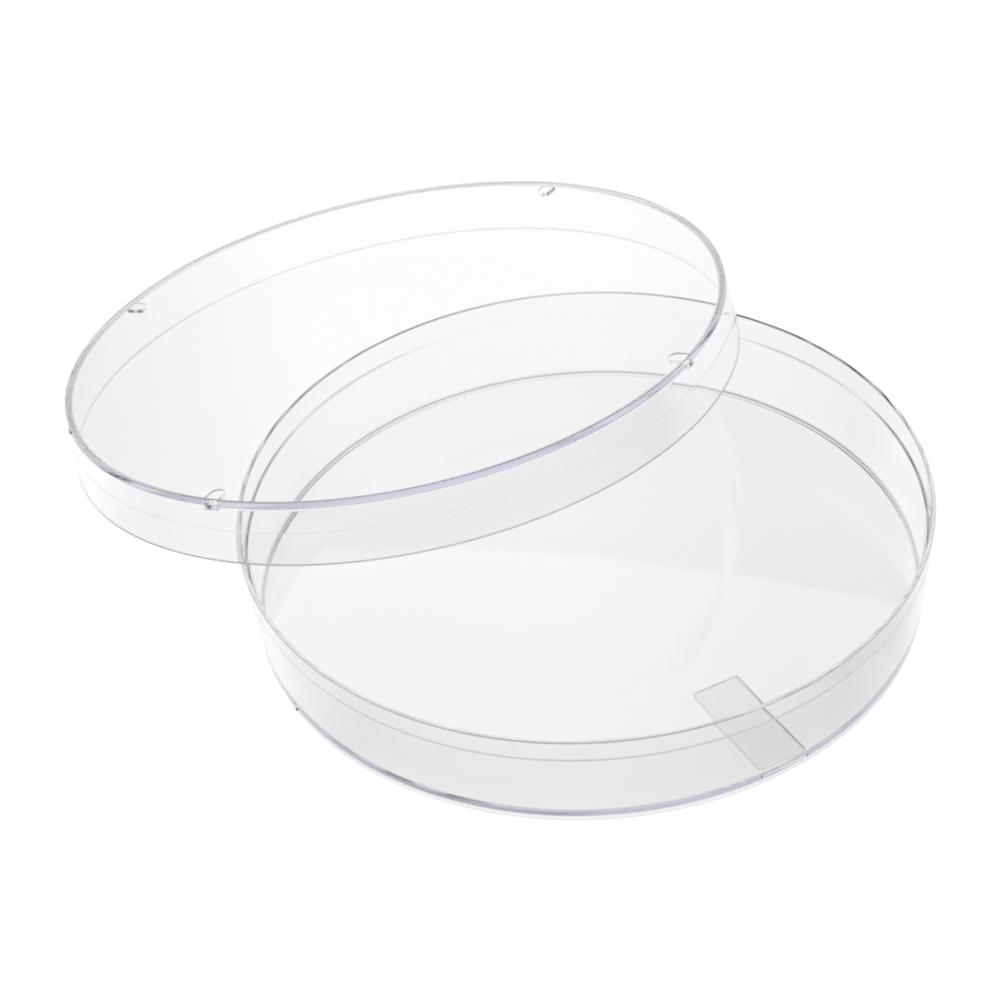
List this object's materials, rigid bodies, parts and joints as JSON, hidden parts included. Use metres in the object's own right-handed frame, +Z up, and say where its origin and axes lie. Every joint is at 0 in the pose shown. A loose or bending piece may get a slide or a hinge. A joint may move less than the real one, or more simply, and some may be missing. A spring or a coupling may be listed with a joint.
{
  "type": "petri dish",
  "caption": "Clear round petri dish with a flat floor, low flared wall and foot ring, its shallow lid off and leaning on the rim, and a small frosted writing patch under the floor.",
  "frame": {"origin": "centre of the dish floor's underside, 0.45 mm above the table that the foot ring stands on", "axes": "+Z up along the dish base's axis; the lid leans on the rim on the -X, +Y side"},
  "size_m": [0.11, 0.1204, 0.027],
  "materials": {
    "clear_base": "clear moulded polystyrene, polished",
    "clear_lid": "clear moulded polystyrene, polished",
    "frosted_patch": "frosted, fine grained"
  },
  "bodies": {
    "base": {"dish_base": "clear_base", "writing_patch": "frosted_patch"},
    "lid": {"lid": "clear_lid"}
  },
  "joints": [
    {"name": "lid_lift", "type": "slide", "parent": "base", "child": "lid", "axis": [0, 0, 1], "range_m": [0, 0.04]}
  ]
}
